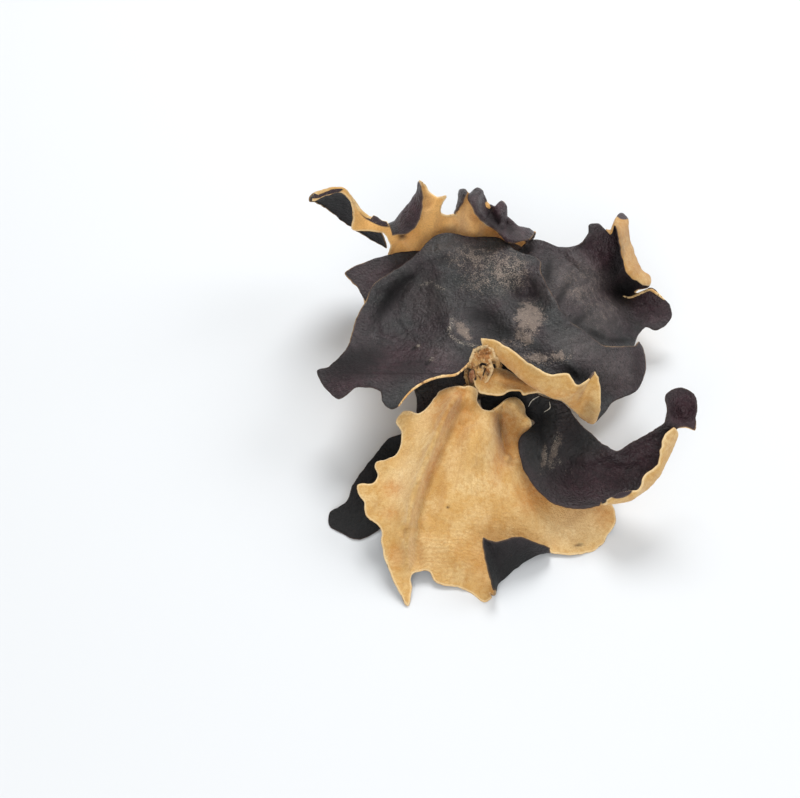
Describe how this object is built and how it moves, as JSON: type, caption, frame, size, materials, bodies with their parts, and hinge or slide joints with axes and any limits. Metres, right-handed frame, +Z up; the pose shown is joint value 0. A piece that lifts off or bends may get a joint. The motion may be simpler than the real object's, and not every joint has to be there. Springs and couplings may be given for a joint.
{
  "type": "dried wood ear fungus clump",
  "caption": "Clump of dried ear-shaped fungus lobes, smooth and dark above and tan felt below, curled out from one knotted base.",
  "frame": {"origin": "middle of the clump's footprint, on the surface it lies on", "axes": "+Z up from the surface; -Y towards the tan front ear; +Y towards the standing frill"},
  "size_m": [0.1304, 0.1478, 0.0601],
  "materials": {
    "dark_face": "smooth leathery, faint bloom",
    "tan_felt": "matte velvety felt",
    "knot": "rough, torn, matte"
  },
  "bodies": {
    "root": {"great_ear": "dark_face", "rear_ear": "dark_face", "side_ear": "dark_face", "under_ear": "dark_face", "front_ear": "tan_felt", "frill_ear": "tan_felt", "collar_ear": "tan_felt", "base_knot": "knot"}
  },
  "joints": []
}
